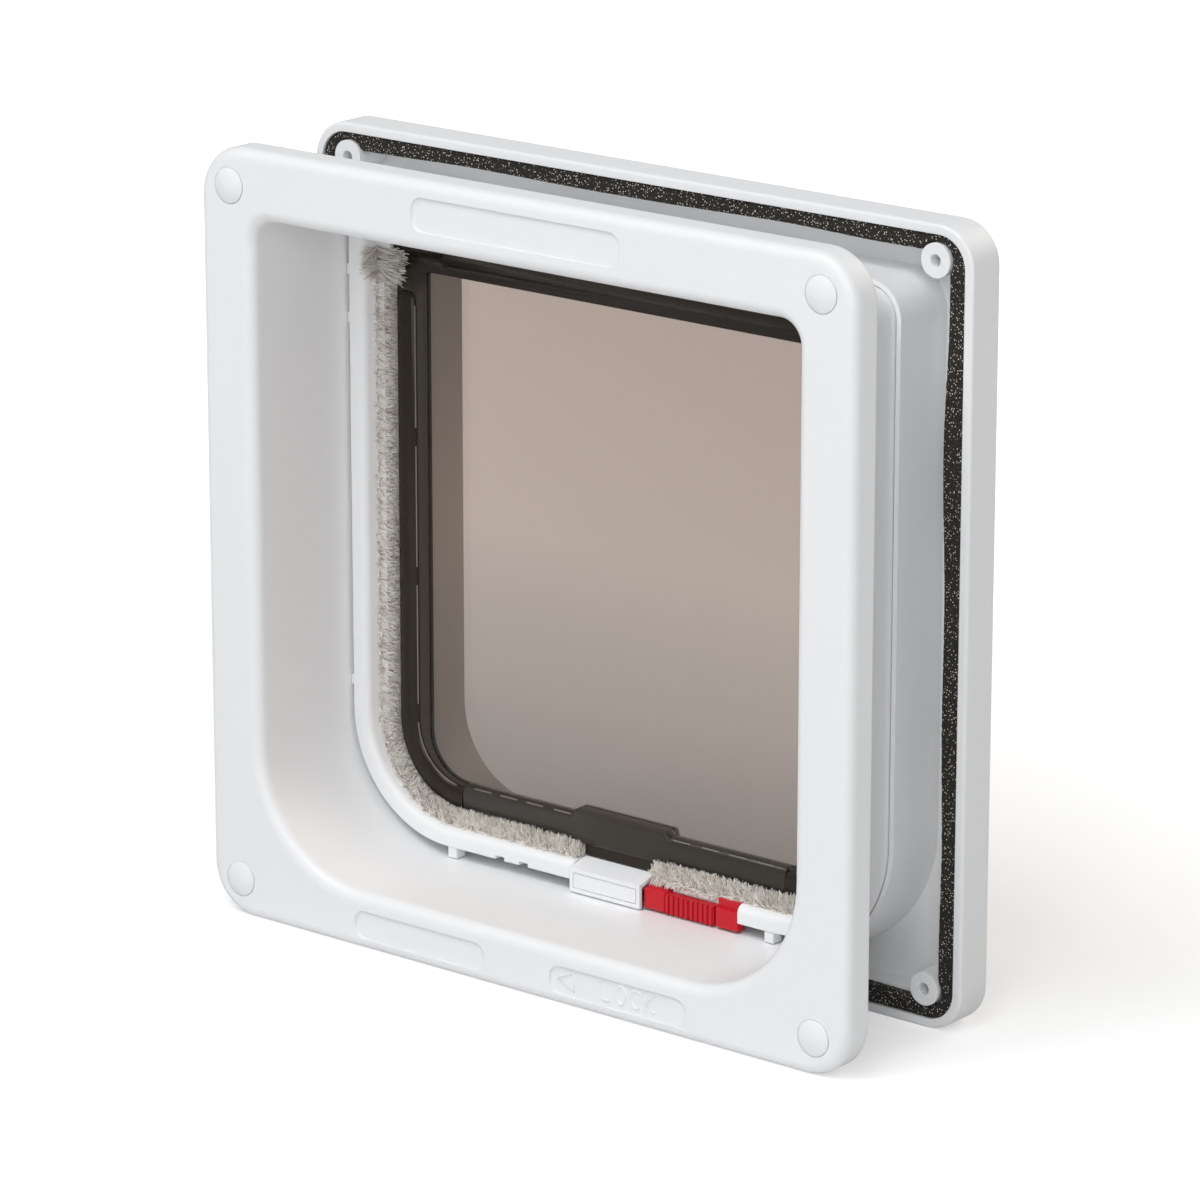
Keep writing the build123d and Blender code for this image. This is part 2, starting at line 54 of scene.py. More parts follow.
# camera, light and floor
studio = {
    "cameraPlace": (1.0290434, -1.2587799, 0.5825221),
    "cameraTurn": (73.7102, 0.0, 39.3116),     # degrees
    "lens": 178.836,                           # mm
    "sensor": 36.0,
    "clipEnd": 50.0,                           # m
    "worldColour": (0.97, 0.985, 1.0),
    "worldLight": 0.14,
    "lampAim": (0.0, 0.0, 0.11),
    "lamps": {                                 # colour, place, size and power
        "key lamp": ((0.975, 0.988, 1.0), (-0.8, -1.1, 2.3), 1.5, 17.4),
        "top lamp": ((0.975, 0.988, 1.0), (0.1, -1.3, 2.4), 1.6, 26.5),
        "fill lamp": ((0.975, 0.988, 1.0), (1.40, -1.90, 1.05), 1.4, 19.6),
        "back lamp": ((1.0, 0.94, 0.85), (0.6, 2.1, 1.2), 1.4, 17.0),
    },
    "mirrorShare": 0.35,                       # of the white background seen in mirrors
    "floorSize": 14.0,                         # m
    "floorColour": (0.80, 0.80, 0.80),
    "floorGlow": (0.42, 1.0),                  # near the object and far from it
    "floorReach": (0.16, 1.1),                 # distances of those, m
}


def newObject(name, data):
    obj = bpy.data.objects.new(name, data)
    scene.collection.objects.link(obj)
    return obj


def meshFrom(name, points, faces, edges=()):
    mesh = bpy.data.meshes.new(name)
    mesh.from_pydata(points, edges, faces)
    mesh.update()
    return mesh


def addNode(tree, kind, **values):
    node = tree.nodes.new(kind)
    for name, value in values.items():
        setattr(node, name, value)
    return node


def makeCamera(s):
    data = bpy.data.cameras.new("camera")
    data.lens = s["lens"]
    data.sensor_width = s["sensor"]
    data.clip_end = s["clipEnd"]
    camera = newObject("camera", data)
    camera.location = s["cameraPlace"]
    camera.rotation_euler = [math.radians(a) for a in s["cameraTurn"]]
    scene.camera = camera


def makeLamp(name, aim, colour, place, size, power):
    data = bpy.data.lights.new(name, "AREA")
    data.color = colour
    data.shape = "SQUARE"
    data.size = size
    data.energy = power
    lamp = newObject(name, data)
    lamp.location = place
    lamp.visible_camera = False
    lamp.rotation_euler = (Vector(aim) - Vector(place)).to_track_quat("-Z", "Y").to_euler()


def seenDirectly(tree, mirrorShare):
    # 1 for the camera and through the pane, less in mirrors, 0 for light on the object
    path = addNode(tree, "ShaderNodeLightPath")
    mirrored = addNode(tree, "ShaderNodeMath", operation="MULTIPLY")
    mirrored.inputs[1].default_value = mirrorShare
    first = addNode(tree, "ShaderNodeMath", operation="MAXIMUM")
    second = addNode(tree, "ShaderNodeMath", operation="MAXIMUM")
    tree.links.new(path.outputs["Is Glossy Ray"], mirrored.inputs[0])
    tree.links.new(path.outputs["Is Camera Ray"], first.inputs[0])
    tree.links.new(mirrored.outputs[0], first.inputs[1])
    tree.links.new(first.outputs[0], second.inputs[0])
    tree.links.new(path.outputs["Is Transmission Ray"], second.inputs[1])
    return second.outputs[0]


def makeWorld(s):
    world = bpy.data.worlds.new("studio")
    scene.world = world
    world.use_nodes = True
    tree = world.node_tree
    tree.nodes.clear()
    light = addNode(tree, "ShaderNodeBackground")
    light.inputs["Color"].default_value = (*s["worldColour"], 1)
    light.inputs["Strength"].default_value = s["worldLight"]
    white = addNode(tree, "ShaderNodeBackground")
    white.inputs["Color"].default_value = (1, 1, 1, 1)
    mix = addNode(tree, "ShaderNodeMixShader")
    out = addNode(tree, "ShaderNodeOutputWorld")
    tree.links.new(seenDirectly(tree, s["mirrorShare"]), mix.inputs["Fac"])
    tree.links.new(light.outputs[0], mix.inputs[1])
    tree.links.new(white.outputs[0], mix.inputs[2])
    tree.links.new(mix.outputs[0], out.inputs["Surface"])


def makeFloor(s):
    half = s["floorSize"] / 2
    corners = [(-half, -half, 0), (half, -half, 0), (half, half, 0), (-half, half, 0)]
    floor = newObject("floor", meshFrom("floor", corners, [(0, 1, 2, 3)]))
    mat = bpy.data.materials.new("pale floor")
    mat.use_nodes = True
    tree = mat.node_tree
    tree.nodes.clear()
    matte = addNode(tree, "ShaderNodeBsdfDiffuse")
    matte.inputs["Color"].default_value = (*s["floorColour"], 1)
    glow = addNode(tree, "ShaderNodeEmission")
    coords = addNode(tree, "ShaderNodeTexCoord")
    away = addNode(tree, "ShaderNodeVectorMath", operation="LENGTH")
    # less glow near the object, where its shadow falls
    paler = addNode(tree, "ShaderNodeMapRange", interpolation_type="SMOOTHSTEP")
    paler.inputs["From Min"].default_value, paler.inputs["From Max"].default_value = s["floorReach"]
    paler.inputs["To Min"].default_value, paler.inputs["To Max"].default_value = s["floorGlow"]
    strength = addNode(tree, "ShaderNodeMath", operation="MULTIPLY")
    tree.links.new(coords.outputs["Object"], away.inputs[0])
    tree.links.new(away.outputs["Value"], paler.inputs["Value"])
    tree.links.new(paler.outputs["Result"], strength.inputs[1])
    both = addNode(tree, "ShaderNodeAddShader")
    out = addNode(tree, "ShaderNodeOutputMaterial")
    tree.links.new(seenDirectly(tree, s["mirrorShare"]), strength.inputs[0])
    tree.links.new(strength.outputs[0], glow.inputs["Strength"])
    tree.links.new(matte.outputs[0], both.inputs[0])
    tree.links.new(glow.outputs[0], both.inputs[1])
    tree.links.new(both.outputs[0], out.inputs["Surface"])
    floor.data.materials.append(mat)


makeCamera(studio)
makeWorld(studio)
makeFloor(studio)
for lampName, lampSettings in studio["lamps"].items():
    makeLamp(lampName, studio["lampAim"], *lampSettings)
print("studio ready")

# finishes of the moulded pieces, with colour spread, grain per metre and edge radius in mm
finishes = {
    "whitePlastic": {"colour": (0.915, 0.920, 0.928), "spread": 0.004, "rough": (0.36, 0.41),
                     "grain": 1100.0, "bump": 0.03, "softEdge": 0.45, "gloss": 0.42},
    "redPlastic": {"colour": (0.60, 0.009, 0.020), "spread": 0.04, "rough": (0.30, 0.38),
                   "grain": 1600.0, "bump": 0.10, "softEdge": 0.35, "gloss": 0.32},
    "smokedFrame": {"colour": (0.0235, 0.0183, 0.0136), "spread": 0.2, "rough": (0.14, 0.22),
                    "grain": 700.0, "bump": 0.05, "softEdge": 0.5, "gloss": 0.22,
                    "glossTint": (1.0, 0.92, 0.82)},
    # paler copy of the frame's finish for the bar: painted light where it faces up into the lamps
    "smokedBarLit": {"colour": (0.042, 0.0365, 0.030), "spread": 0.2, "rough": (0.14, 0.22),
                  "grain": 700.0, "bump": 0.05, "softEdge": 0.5, "gloss": 0.25,
                  "glossTint": (1.0, 0.94, 0.86)},
    # paler finish of the ridge: a painted highlight along the bead and bar
    "ridgeHighlight": {"colour": (0.20, 0.175, 0.145), "spread": 0.35, "rough": (0.16, 0.28),
                    "grain": 500.0, "bump": 0.05},
    "steelRod": {"colour": (0.60, 0.60, 0.60), "spread": 0.05, "rough": (0.22, 0.34),
                 "grain": 600.0, "bump": 0.05, "metal": 1.0},
    "magnetGrey": {"colour": (0.075, 0.075, 0.08), "spread": 0.15, "rough": (0.45, 0.6),
                   "grain": 1500.0, "bump": 0.2, "metal": 0.6},
}
moulding = {                 # what those finishes share
    "mottle": 16.0,          # broad changes of tone, per metre
    "mottleRange": (0.1, 0.9),
    "grainDepth": 0.0002,    # m
    "edgeSamples": 6,
}


def noiseAt(tree, coords, scale, detail=2.0):
    tex = addNode(tree, "ShaderNodeTexNoise")
    tex.inputs["Scale"].default_value = scale
    tex.inputs["Detail"].default_value = detail
    tree.links.new(coords, tex.inputs["Vector"])
    return tex.outputs["Fac"]


def rangeOf(tree, value, low, high, fromLow=0.3, fromHigh=0.7):
    # most of a noise lies between 0.3 and 0.7
    remap = addNode(tree, "ShaderNodeMapRange")
    remap.inputs["From Min"].default_value = fromLow
    remap.inputs["From Max"].default_value = fromHigh
    remap.inputs["To Min"].default_value = low
    remap.inputs["To Max"].default_value = high
    tree.links.new(value, remap.inputs["Value"])
    return remap.outputs["Result"]


def colourMix(tree, factor):
    # a Mix node's two colour inputs and its colour output
    mix = addNode(tree, "ShaderNodeMix", data_type="RGBA")
    tree.links.new(factor, mix.inputs["Factor"])
    first, second = [socket for socket in mix.inputs if socket.type == "RGBA"]
    return first, second, [socket for socket in mix.outputs if socket.type == "RGBA"][0]


def twoTone(tree, factor, low, high):
    first, second, mixed = colourMix(tree, factor)
    first.default_value = (*low, 1)
    second.default_value = (*high, 1)
    return mixed


def colourSteps(tree, factor, steps):
    ramp = addNode(tree, "ShaderNodeValToRGB")
    stops = ramp.color_ramp.elements
    while len(stops) < len(steps):
        stops.new(0.5)
    for stop, (place, colour) in zip(stops, steps):
        stop.position = place
        stop.color = (*colour, 1)
    tree.links.new(factor, ramp.inputs["Fac"])
    return ramp.outputs["Color"]


def bumpFrom(tree, height, strength, distance, softEdge=0.0):
    # softEdge is the radius of the moulded edges, mm
    bump = addNode(tree, "ShaderNodeBump")
    if softEdge:
        edge = addNode(tree, "ShaderNodeBevel", samples=moulding["edgeSamples"])
        edge.inputs["Radius"].default_value = softEdge * mm
        tree.links.new(edge.outputs["Normal"], bump.inputs["Normal"])
    bump.inputs["Strength"].default_value = strength
    bump.inputs["Distance"].default_value = distance
    tree.links.new(height, bump.inputs["Height"])
    return bump.outputs["Normal"]


def newMaterial(name):
    mat = bpy.data.materials.new(name)
    mat.use_nodes = True
    tree = mat.node_tree
    shader = tree.nodes["Principled BSDF"]
    coords = addNode(tree, "ShaderNodeTexCoord").outputs["Object"]
    return mat, tree, shader, coords


def mouldedPlastic(name, s):
    mat, tree, shader, coords = newMaterial(name)
    broad = noiseAt(tree, coords, moulding["mottle"], 1.0)
    grain = noiseAt(tree, coords, s["grain"], 1.0)
    low = [c * (1 - s["spread"]) for c in s["colour"]]
    high = [min(1.0, c * (1 + s["spread"])) for c in s["colour"]]
    tree.links.new(twoTone(tree, broad, low, high), shader.inputs["Base Color"])
    rough = rangeOf(tree, broad, *s["rough"], *moulding["mottleRange"])
    tree.links.new(rough, shader.inputs["Roughness"])
    normal = bumpFrom(tree, grain, s["bump"], moulding["grainDepth"], s.get("softEdge", 0.0))
    tree.links.new(normal, shader.inputs["Normal"])
    shader.inputs["Metallic"].default_value = s.get("metal", 0.0)
    shader.inputs["Specular IOR Level"].default_value = s.get("gloss", 0.5)
    shader.inputs["Specular Tint"].default_value = (*s.get("glossTint", (1.0, 1.0, 1.0)), 1)
    return mat


borderPaintedLight = {
    "depth": 0.0104,         # middle of the flap, m
    "half": (0.0012, 0.0020),    # distances from that middle where the painted light of the thin border fades out, m
    # paler colour where the border is thin: painted light showing through it from behind
    "colour": (0.070, 0.060, 0.046),
    "head": (0.184, 0.192),  # heights where painted shade darkens it towards the hinge, m
    "headShadeColour": (0.0065, 0.0052, 0.0038),
}


def borderedFrame(name, s, paintedThrough):
    # the frame's finish, with painted light where the plastic is thin and painted shade towards the hinge
    mat = mouldedPlastic(name, s)
    tree = mat.node_tree
    shader = tree.nodes["Principled BSDF"]
    split = addNode(tree, "ShaderNodeSeparateXYZ")
    tree.links.new(tree.nodes["Texture Coordinate"].outputs["Object"], split.inputs[0])
    away = addNode(tree, "ShaderNodeMath", operation="SUBTRACT")
    away.inputs[1].default_value = paintedThrough["depth"]
    tree.links.new(split.outputs["Y"], away.inputs[0])
    size = addNode(tree, "ShaderNodeMath", operation="ABSOLUTE")
    tree.links.new(away.outputs[0], size.inputs[0])
    thick = rangeOf(tree, size.outputs[0], 0.0, 1.0, *paintedThrough["half"])
    toHeadShade = rangeOf(tree, split.outputs["Z"], 0.0, 1.0, *paintedThrough["head"])
    paler, plain, mixed = colourMix(tree, thick)
    tree.links.new(twoTone(tree, toHeadShade, paintedThrough["colour"], paintedThrough["headShadeColour"]), paler)
    tree.links.new(shader.inputs["Base Color"].links[0].from_socket, plain)
    tree.links.new(mixed, shader.inputs["Base Color"])
    return mat


pane = {
    "low": 0.040, "high": 0.190,         # heights of the window's edges, m
    "shadedTints": [                           # light let through, by share of that height, with painted shade of the floor seen behind: darker towards the bottom, and towards the top
        (0.00, (0.269, 0.244, 0.225)), (0.22, (0.349, 0.303, 0.274)),
        (0.52, (0.402, 0.336, 0.294)), (1.00, (0.285, 0.232, 0.201)),
    ],
    "lampTint": (0.76, 0.64, 0.51),      # lamp light let through each of the sheet's two faces
    "mottle": 14.0,                      # per metre
    "mottleRange": (0.1, 0.9),
    "rough": (0.010, 0.022),
    "ior": 1.49,
}


def smokedSheet(name, s):
    mat, tree, shader, coords = newMaterial(name)
    broad = noiseAt(tree, coords, s["mottle"], 1.0)
    split = addNode(tree, "ShaderNodeSeparateXYZ")
    tree.links.new(coords, split.inputs[0])
    height = rangeOf(tree, split.outputs["Z"], 0.0, 1.0, s["low"], s["high"])
    # colour by height is painted shade: darker towards the bottom and the top
    shadedTint = colourSteps(tree, height, s["shadedTints"])
    tree.links.new(shadedTint, shader.inputs["Base Color"])
    tree.links.new(rangeOf(tree, broad, *s["rough"], *s["mottleRange"]), shader.inputs["Roughness"])
    shader.inputs["Transmission Weight"].default_value = 1.0
    shader.inputs["IOR"].default_value = s["ior"]
    clear = addNode(tree, "ShaderNodeBsdfTransparent")   # lamps shine through the sheet
    clear.inputs["Color"].default_value = (*s["lampTint"], 1)
    path = addNode(tree, "ShaderNodeLightPath")
    both = addNode(tree, "ShaderNodeMixShader")
    tree.links.new(path.outputs["Is Shadow Ray"], both.inputs["Fac"])
    tree.links.new(shader.outputs[0], both.inputs[1])
    tree.links.new(clear.outputs[0], both.inputs[2])
    tree.links.new(both.outputs[0], tree.nodes["Material Output"].inputs["Surface"])
    return mat


materials = {name: mouldedPlastic(name, settings) for name, settings in finishes.items()}
materials["smokedPaneShaded"] = smokedSheet("smokedPaneShaded", pane)
# the flap frame's finish with painted light on its thin border and painted shade towards the hinge
materials["smokedBorderPainted"] = borderedFrame("smokedBorderPainted", finishes["smokedFrame"], borderPaintedLight)

pileLook = {
    # darkest strand tone; the backing takes it too, as painted shade in the gaps
    "darkToneAndGapShade": (0.36, 0.285, 0.21),
    "bright": (1.0, 0.97, 0.92),
    "toneRange": (0.04, 0.40),     # strands with a higher number are all bright
    "strandShare": 0.8,            # of the tone that is each strand's own
    "tuftShare": 0.25,             # and that neighbours share
    "tufts": 700.0,                # per metre
    "rough": (0.28, 0.40),
    "sheen": 0.12,
}


def brushStrands(name, s):
    # pale woolly strands, each with its own tone
    mat, tree, shader, coords = newMaterial(name)
    tone = addNode(tree, "ShaderNodeAttribute", attribute_name="strandTone").outputs["Fac"]
    tuft = noiseAt(tree, coords, s["tufts"])
    mixed = addNode(tree, "ShaderNodeMath", operation="MULTIPLY_ADD")
    mixed.inputs[1].default_value = s["strandShare"]
    tree.links.new(rangeOf(tree, tone, 0.0, 1.0, *s["toneRange"]), mixed.inputs[0])
    tree.links.new(rangeOf(tree, tuft, 0.0, s["tuftShare"]), mixed.inputs[2])
    shade = twoTone(tree, mixed.outputs[0], s["darkToneAndGapShade"], s["bright"])
    tree.links.new(shade, shader.inputs["Base Color"])
    tree.links.new(rangeOf(tree, tuft, *s["rough"]), shader.inputs["Roughness"])
    shader.inputs["Sheen Weight"].default_value = s["sheen"]
    return mat


foamLook = {
    "pitShade": (0.0045, 0.0034, 0.0024),
    "cellWall": (0.040, 0.032, 0.024),
    "glint": (0.85, 0.79, 0.70),
    "cells": 1700.0,               # per metre
    "wallRange": (0.50, 0.64),     # noise values from painted shade in the pits to cell wall
    "glints": 1500.0,              # per metre
    "glintSize": (0.19, 0.29),     # from bright to plain, as shares of a glint's own room
    "glintShare": (0.34, 0.39),    # of the rooms that stay without
    "bump": 0.3,
    "bumpDepth": 0.0004,           # m
    "rough": (0.7, 0.9),
}


def openFoam(name, s):
    # painted shade in the open cells, paler cell walls and a few bright glints painted as highlights
    mat, tree, shader, coords = newMaterial(name)
    cells = noiseAt(tree, coords, s["cells"])
    wall = rangeOf(tree, cells, 0.0, 1.0, *s["wallRange"])
    # darker where the bump is low: painted shade in the pits
    base = twoTone(tree, wall, s["pitShade"], s["cellWall"])
    dots = addNode(tree, "ShaderNodeTexVoronoi")
    dots.inputs["Scale"].default_value = s["glints"]
    tree.links.new(coords, dots.inputs["Vector"])
    near = rangeOf(tree, dots.outputs["Distance"], 1.0, 0.0, *s["glintSize"])
    lot = addNode(tree, "ShaderNodeSeparateColor")
    tree.links.new(dots.outputs["Color"], lot.inputs[0])
    chosen = rangeOf(tree, lot.outputs[0], 0.0, 1.0, *s["glintShare"])
    both = addNode(tree, "ShaderNodeMath", operation="MULTIPLY")
    tree.links.new(near, both.inputs[0])
    tree.links.new(chosen, both.inputs[1])
    plain, bright, speckled = colourMix(tree, both.outputs[0])
    tree.links.new(base, plain)
    bright.default_value = (*s["glint"], 1)
    tree.links.new(speckled, shader.inputs["Base Color"])
    tree.links.new(bumpFrom(tree, cells, s["bump"], s["bumpDepth"]), shader.inputs["Normal"])
    tree.links.new(rangeOf(tree, cells, *s["rough"]), shader.inputs["Roughness"])
    return mat


materials["brushPile"] = brushStrands("brushPile", pileLook)
materials["foamCells"] = openFoam("foamCells", foamLook)

slotFinish = {
    "white_plastic": "whitePlastic", "smoked_frame": "smokedFrame", "smoked_pane": "smokedPaneShaded",
    "red_plastic": "redPlastic", "steel": "steelRod", "magnet": "magnetGrey",
    "brush_pile": "brushPile", "foam": "foamCells",
}
for part in frame["record"]["subparts"]:
    obj = nodes[part["node"]]
    obj.data.materials.clear()
    obj.data.materials.append(materials[slotFinish[part["material_slot"]]])
nodes["flap_frame"].data.materials[0] = materials["smokedBorderPainted"]
print("finishes set on CAD nodes")


# Geometry Nodes helpers
def liveOutput(node):
    return [socket for socket in node.outputs if socket.enabled][0]


def nodeTree(name, inputs):
    # a tree with a geometry input and output and the named number inputs
    tree = bpy.data.node_groups.new(name, "GeometryNodeTree")
    tree.interface.new_socket("Geometry", in_out="INPUT", socket_type="NodeSocketGeometry")
    for label, (kind, value) in inputs.items():
        socket = tree.interface.new_socket(label, in_out="INPUT", socket_type=kind)
        socket.default_value = value
    tree.interface.new_socket("Geometry", in_out="OUTPUT", socket_type="NodeSocketGeometry")
    return tree, addNode(tree, "NodeGroupInput"), addNode(tree, "NodeGroupOutput")


def grow(obj, tree, values):
    # run the tree on the object and keep the result as its plain mesh
    modifier = obj.modifiers.new("grow", "NODES")
    modifier.node_group = tree
    for item in tree.interface.items_tree:
        if item.in_out == "INPUT" and item.name in values:
            modifier[item.identifier] = values[item.name]
    bpy.context.view_layer.update()
    evaluated = obj.evaluated_get(bpy.context.evaluated_depsgraph_get())
    mesh = bpy.data.meshes.new_from_object(evaluated)
    obj.modifiers.clear()
    obj.data = mesh
    return obj


def dress(obj, body, slot, *replaced):
    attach(obj, body)
    if replaced:
        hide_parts(*replaced)


# brush seals: strands grown on a bed that follows the carrier's groove
brush = {
    "railInset": 1.9,        # from the solid's root to the rail's inner face, mm
    "rootRadius": 33.0,      # bend of the root line, mm
    "sillFan": [             # depth, height and strand length across the bed's front at the sill, mm
        (-2.2, 0.00, 0.8), (-1.9, 0.35, 1.7), (-1.0, 0.65, 3.2), (-0.2, 0.80, 4.4), (0.5, 0.85, 4.9),
    ],
    "sideFan": [             # the same beside the flap
        (0.0, 0.10, 0.5), (0.05, 0.62, 0.9), (0.15, 0.80, 1.6), (0.3, 0.83, 4.4), (0.5, 0.85, 4.9),
    ],
    "drape": 1.0,            # how far the strands hang down behind the lock, mm
    "drapeDepth": 0.05,
    "bedHeight": 0.85,
    "bedStep": 0.1,          # from the fan to the rest of the bed, mm
    "sillPile": 2.6,         # strand length below the flap's bar, mm
    "sidePile": 5.4,         # strand length beside the flap, mm
    "fanGrowth": 2.6,        # how much thicker the strands stand along the front
    "backGrowth": 1.2,       # and behind it
    "coreSill": 1.5,         # height of the solid backing among the strands, mm
    "coreSide": 3.2,
    "coreInset": 0.3,        # from the front of the strands, mm
    "density": 5.4e6,        # strands per square metre
    "strandRadius": 0.165,   # mm
    "tipShare": 0.55,        # tip radius as a share of the root's
    "headLength": 6.2,       # extra length over the flap's edge above the beads, mm
    "headFrom": 186.0,       # where that starts and is full, mm
    "headFull": 188.5,
    "headRise": 4.2,         # how far the upper end spreads in front of the hinge bearing, mm
    "headDeep": 0.7,         # depth of that end, mm
    "lean": 0.17,            # largest random tilt, radians
    "tuftLean": 0.6,         # tilt that neighbours share, radians
    "tufts": 450.0,          # tufts per metre
    "bend": 0.22,            # sideways curl at the tip, as a share of the length below
    "curlLength": 5.0,       # mm
    "lengthLow": 0.86,       # shares of the pile's length
    "lengthHigh": 1.0,
    "strandSides": 3,
    "strandSteps": 2,
    "arcSteps": 14,
    "straightStep": 6.0,     # mm
    "seedRight": 7,
    "seedLeft": 11,
    "seedTone": 3,
}


def brushPath(s, side):
    # points, inward directions, shares of the sill and head, and depth, from the top end to the sill end
    low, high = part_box("brush_seal_right" if side > 0 else "brush_seal_left")
    half = max(abs(low.x), abs(high.x)) / mm
    innerEnd = min(abs(low.x), abs(high.x)) / mm
    sill, top = low.z / mm, high.z / mm
    radius = s["rootRadius"]
    centre = Vector((half - radius, sill + radius))
    stations = []
    for z in (top + s["headRise"], top, s["headFull"], s["headFrom"]):
        stations.append((half, z, 0.0))
    steps = int((s["headFrom"] - centre.y) / s["straightStep"])
    for i in range(1, steps):
        stations.append((half, s["headFrom"] + (centre.y - s["headFrom"]) * i / steps, 0.0))
    for i in range(s["arcSteps"]):
        a = math.pi / 2 * i / s["arcSteps"]
        stations.append((centre.x + radius * math.cos(a), centre.y - radius * math.sin(a), a))
    steps = int((centre.x - innerEnd) / s["straightStep"])
    for i in range(steps + 1):
        stations.append((centre.x + (innerEnd - centre.x) * i / steps, sill, math.pi / 2))
    rows = []
    for x, z, a in stations:
        inward = Vector((-math.cos(a) * side, 0.0, math.sin(a)))
        place = Vector((x * side, 0.0, z)) + inward * s["railInset"]
        headShare = min(1.0, max(0.0, (z - s["headFrom"]) / (s["headFull"] - s["headFrom"])))
        back = low.y / mm + s["headDeep"] if z > top else high.y / mm
        rows.append((place, inward, math.sin(a) ** 2, headShare, back))
    return rows, low.y / mm, high.y / mm


def bedColumns(s, side, sillShare, headShare, front, back):
    # depth, height, strand length and growth across the bed, from its indoors edge to the outdoors edge
    columns = []
    for sill, beside in zip(s["sillFan"], s["sideFan"]):
        depth, height, pile = (a * sillShare + b * (1 - sillShare) for a, b in zip(sill, beside))
        columns.append((front + depth, height, pile + s["headLength"] * headShare, s["fanGrowth"]))
    if side > 0:
        y, height, pile, growth = columns[0]
        columns.insert(0, (y - s["drapeDepth"], height - s["drape"] * sillShare, pile, growth))
    pile = s["sillPile"] * sillShare + s["sidePile"] * (1 - sillShare)
    longer = s["headLength"] * headShare
    growth = s["backGrowth"] * (1 - headShare) + s["fanGrowth"] * headShare
    columns.append((columns[-1][0] + s["bedStep"], s["bedHeight"], pile + longer, growth))
    columns.append((back, s["bedHeight"], pile, s["backGrowth"]))
    return columns


